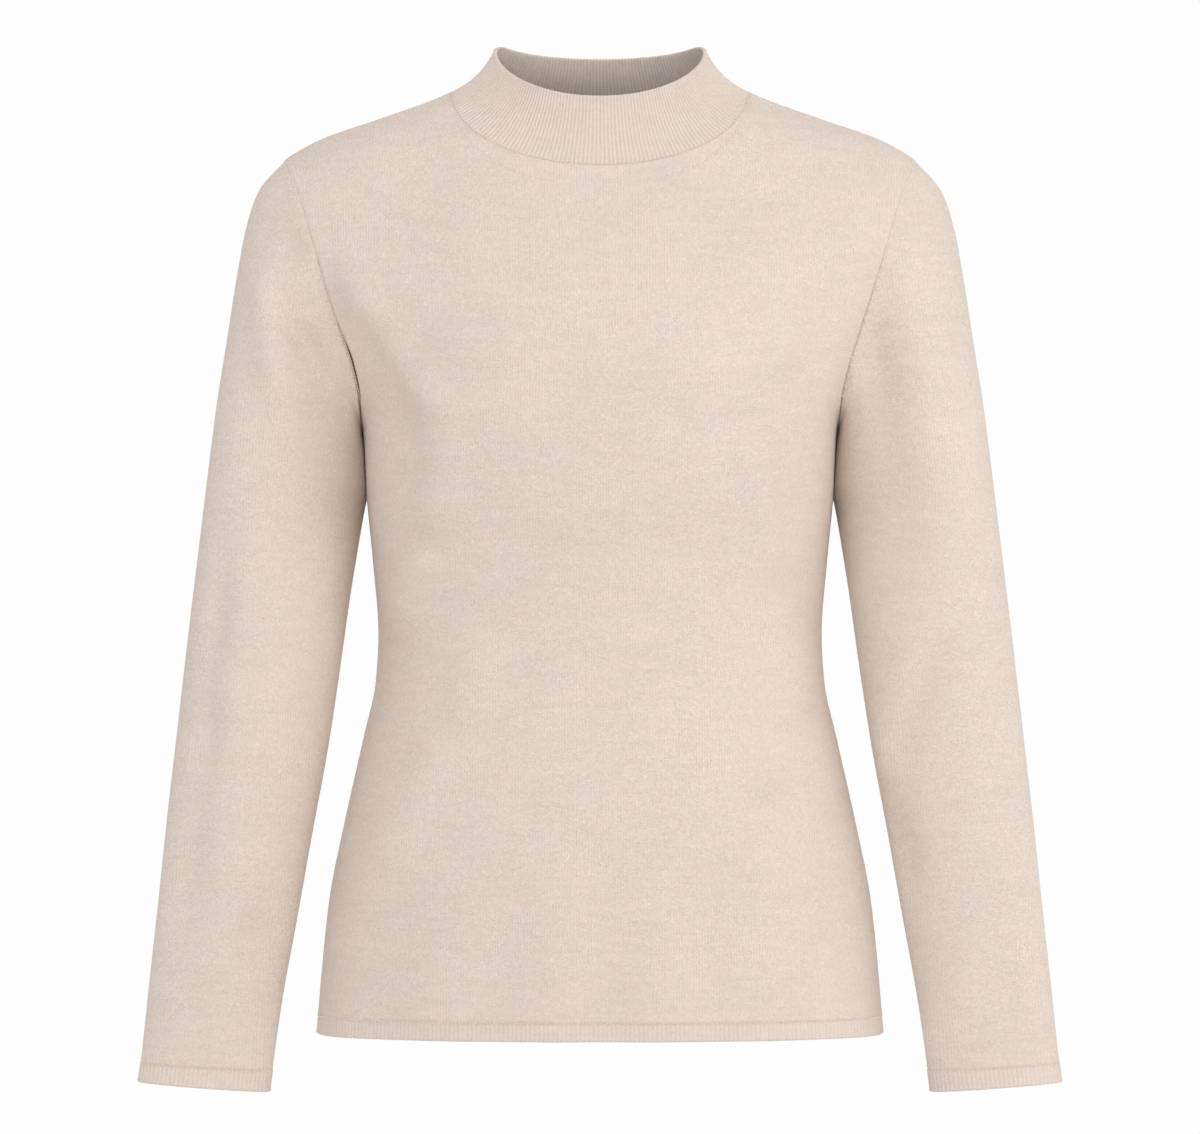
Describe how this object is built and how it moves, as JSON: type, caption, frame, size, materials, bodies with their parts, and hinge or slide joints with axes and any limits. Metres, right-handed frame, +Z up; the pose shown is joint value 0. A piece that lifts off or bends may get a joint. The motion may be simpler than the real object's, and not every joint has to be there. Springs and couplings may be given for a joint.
{
  "type": "knitted sweater",
  "caption": "Fine-knit long-sleeved sweater with a ribbed mock neck and narrow ribbed hem and cuffs, hollow and filled out as if worn.",
  "frame": {"origin": "midway between the two neck points, on the line of the shoulder seams' inner ends, where the wearer's shoulders carry the sweater", "axes": "+Z up towards the neck, the front faces -Y, +X towards the wearer's left sleeve"},
  "size_m": [0.5934, 0.2339, 0.6736],
  "materials": {
    "jersey": "matte melange jersey with a soft nap",
    "ribbing": "matte fine rib knit"
  },
  "bodies": {
    "root": {"front": "jersey", "back": "jersey", "sleeve_left": "jersey", "sleeve_right": "jersey", "collar": "ribbing", "hem_front": "ribbing", "hem_back": "ribbing", "cuff_left": "ribbing", "cuff_right": "ribbing"}
  },
  "joints": []
}
